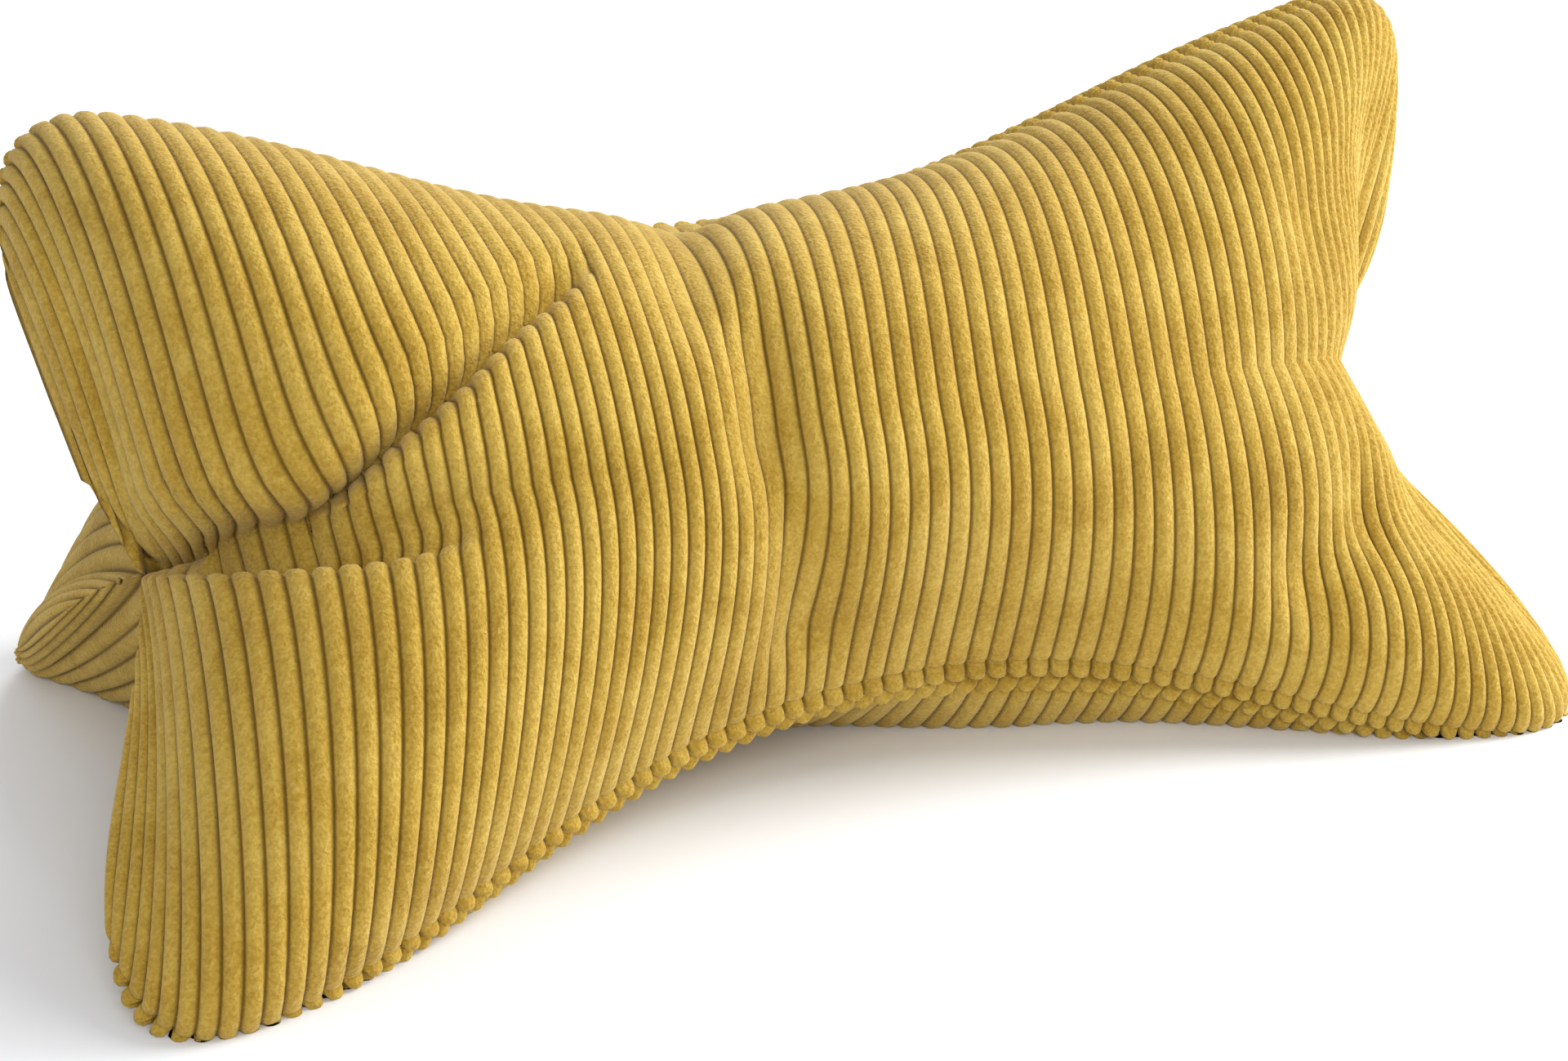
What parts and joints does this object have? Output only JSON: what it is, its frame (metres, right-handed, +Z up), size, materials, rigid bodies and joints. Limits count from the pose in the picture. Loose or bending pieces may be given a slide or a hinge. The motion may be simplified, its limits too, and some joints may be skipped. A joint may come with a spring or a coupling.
{
  "type": "reading pillow",
  "caption": "Bone-shaped reading pillow in wide-rib corduroy, with flared ears at both ends and a drawn-in waist that holds a neck or a book.",
  "frame": {"origin": "on the surface that the pillow lies on, under the middle of its box", "axes": "+X along the pillow, +Y to the seam at the back, +Z up between the two upper ears"},
  "size_m": [0.4174, 0.2284, 0.1823],
  "materials": {
    "corduroy": "mustard yellow wide-rib corduroy, soft and matt"
  },
  "bodies": {
    "root": {"pillow": "corduroy"}
  },
  "joints": []
}
